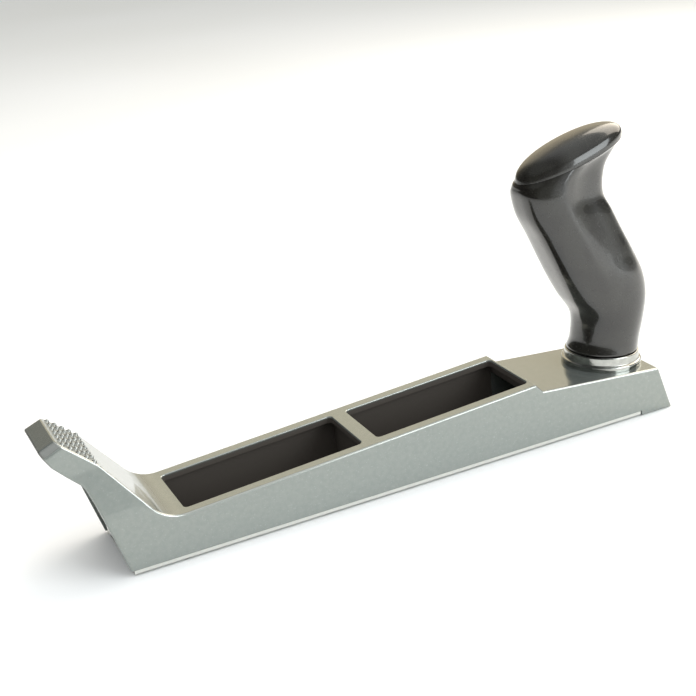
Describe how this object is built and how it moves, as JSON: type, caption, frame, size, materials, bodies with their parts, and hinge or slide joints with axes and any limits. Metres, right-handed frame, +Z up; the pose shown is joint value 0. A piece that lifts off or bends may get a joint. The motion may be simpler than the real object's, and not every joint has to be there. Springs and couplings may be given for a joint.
{
  "type": "rasp plane",
  "caption": "Rasp plane: cast body with two windows and an upswept studded toe, perforated steel rasp blade, screw-driven tension hook and swivelling grip on a ferrule.",
  "frame": {"origin": "centre of the tool's bounding box, on the surface that it rests on", "axes": "+X from the toe to the heel along the blade, +Y across the body, +Z up"},
  "size_m": [0.2885, 0.044, 0.1352],
  "materials": {
    "cast_body": "silver lacquer over a fine cast skin, glossy on the upper faces",
    "blade_steel": "hardened punched strip steel",
    "zinc_steel": "bright zinc plate",
    "spring_steel": "blued spring steel",
    "fibre": "vulcanised fibre",
    "insert_brass": "turned brass",
    "ferrule_chrome": "polished chrome plate",
    "grip_plastic": "glossy black moulded plastic"
  },
  "bodies": {
    "root": {"body_casting": "cast_body", "rasp_blade": "blade_steel", "handle_ferrule": "ferrule_chrome"},
    "handle": {"handle_grip": "grip_plastic", "handle_cap": "grip_plastic", "handle_insert": "insert_brass", "handle_bolt": "zinc_steel", "flat_washer": "zinc_steel", "lock_washer": "spring_steel", "friction_washer": "fibre"},
    "screw": {"tension_screw": "zinc_steel"},
    "hook": {"tension_hook": "zinc_steel"}
  },
  "joints": [
    {"name": "handle_swivel", "type": "hinge", "parent": "root", "child": "handle", "pos_m": [0.12085, 0, 0.02274], "axis": [0.0864, 0, 0.9963], "continuous": true},
    {"name": "tension_screw_turn", "type": "hinge", "parent": "root", "child": "screw", "pos_m": [-0.11885, 0, 0.0136], "axis": [-1, 0, 0], "range_deg": [0, 1125]},
    {"name": "hook_slide", "type": "slide", "parent": "root", "child": "hook", "axis": [1, 0, 0], "range_m": [0, 0.0025]}
  ],
  "couplings": [
    {"joint": "tension_screw_turn", "follows": "hook_slide", "rad_per_m": 7854}
  ]
}
